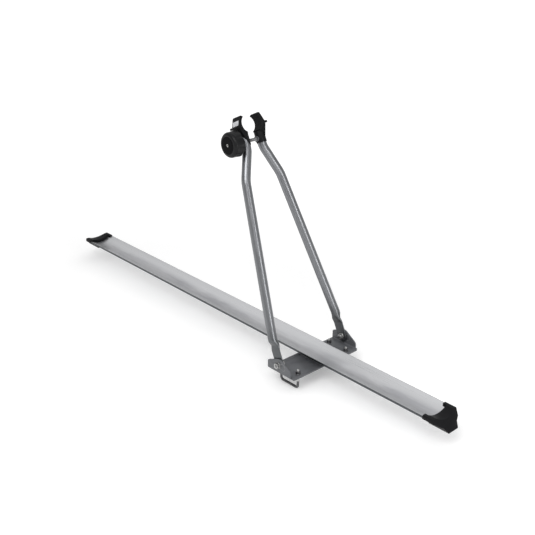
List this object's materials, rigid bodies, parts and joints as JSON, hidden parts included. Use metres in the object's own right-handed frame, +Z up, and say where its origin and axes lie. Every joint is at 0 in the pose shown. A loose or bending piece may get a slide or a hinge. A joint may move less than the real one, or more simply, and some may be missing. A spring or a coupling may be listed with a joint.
{
  "type": "roof bike carrier",
  "caption": "Upright roof-bar bike carrier: wheel rail on a clamped bracket, and a folding two-arm frame with knob-closed jaws.",
  "frame": {"origin": "middle of the bracket's underside, where it rests on the roof bar", "axes": "+X along the rail towards its short end, +Y to the side away from the knob, +Z up"},
  "size_m": [1.3994, 0.2338, 0.588],
  "materials": {
    "rail_aluminium": "extruded, clear anodised",
    "cap_plastic": "moulded, fine grain",
    "bracket_paint": "powder coated, satin",
    "tube_paint": "silver grey paint, satin",
    "zinc_steel": "zinc plated",
    "jaw_plastic": "moulded, fine grain",
    "pad_rubber": "matt",
    "plate_grey": "satin",
    "bush_grey": "satin",
    "knob_plastic": "moulded, satin",
    "insert_brass": "turned",
    "lock_steel": "nickel plated"
  },
  "bodies": {
    "root": {"wheel_rail": "rail_aluminium", "front_end_cap": "cap_plastic", "rear_end_cap": "cap_plastic", "base_bracket": "bracket_paint", "rail_screws": "zinc_steel", "rail_slot_nuts": "zinc_steel", "near_u_bolt": "zinc_steel", "far_u_bolt": "zinc_steel", "u_bolt_washers": "zinc_steel", "u_bolt_nuts": "zinc_steel", "near_pivot_bolt": "zinc_steel", "far_pivot_bolt": "zinc_steel", "pivot_nuts": "zinc_steel", "pivot_washers": "zinc_steel", "pivot_spacers": "bush_grey"},
    "arm_frame": {"far_arm_tube": "tube_paint", "far_jaw": "jaw_plastic", "far_jaw_pad": "pad_rubber", "far_jaw_plate": "plate_grey", "far_jaw_screw": "zinc_steel", "far_barrel_nut": "zinc_steel", "far_rod_bush": "bush_grey"},
    "near_arm": {"near_arm_tube": "tube_paint", "near_jaw": "jaw_plastic", "near_jaw_pad": "pad_rubber", "near_jaw_plate": "plate_grey", "near_jaw_screw": "zinc_steel", "near_saddle": "jaw_plastic"},
    "knob_carriage": {"thrust_washer": "zinc_steel"},
    "knob": {"clamp_knob": "knob_plastic", "knob_cover": "knob_plastic", "knob_insert": "insert_brass", "clamp_rod": "zinc_steel"},
    "lock": {"lock_barrel": "lock_steel", "lock_cam": "lock_steel"}
  },
  "joints": [
    {"name": "frame_fold", "type": "hinge", "parent": "root", "child": "arm_frame", "pos_m": [-0.0075, 0, 0.0212], "axis": [0, 1, 0], "range_deg": [-61, 24]},
    {"name": "near_arm_tilt", "type": "hinge", "parent": "arm_frame", "child": "near_arm", "pos_m": [-0.0075, -0.10405, 0.0212], "axis": [-0.9135, 0, -0.4067], "range_deg": [0, 1.68]},
    {"name": "knob_travel", "type": "slide", "parent": "arm_frame", "child": "knob_carriage", "axis": [0, 1, 0], "range_m": [0, 0.015]},
    {"name": "knob_turn", "type": "hinge", "parent": "knob_carriage", "child": "knob", "pos_m": [-0.21677, 0, 0.49122], "axis": [0, 1, 0], "range_deg": [0, 4320]},
    {"name": "lock_turn", "type": "hinge", "parent": "knob", "child": "lock", "pos_m": [-0.21677, 0, 0.49122], "axis": [0, 1, 0], "range_deg": [0, 90]}
  ],
  "couplings": [
    {"joint": "knob_travel", "follows": "knob_turn", "m_per_rad": 0.00019894},
    {"joint": "near_arm_tilt", "follows": "knob_turn", "ratio": 0.0003874}
  ]
}
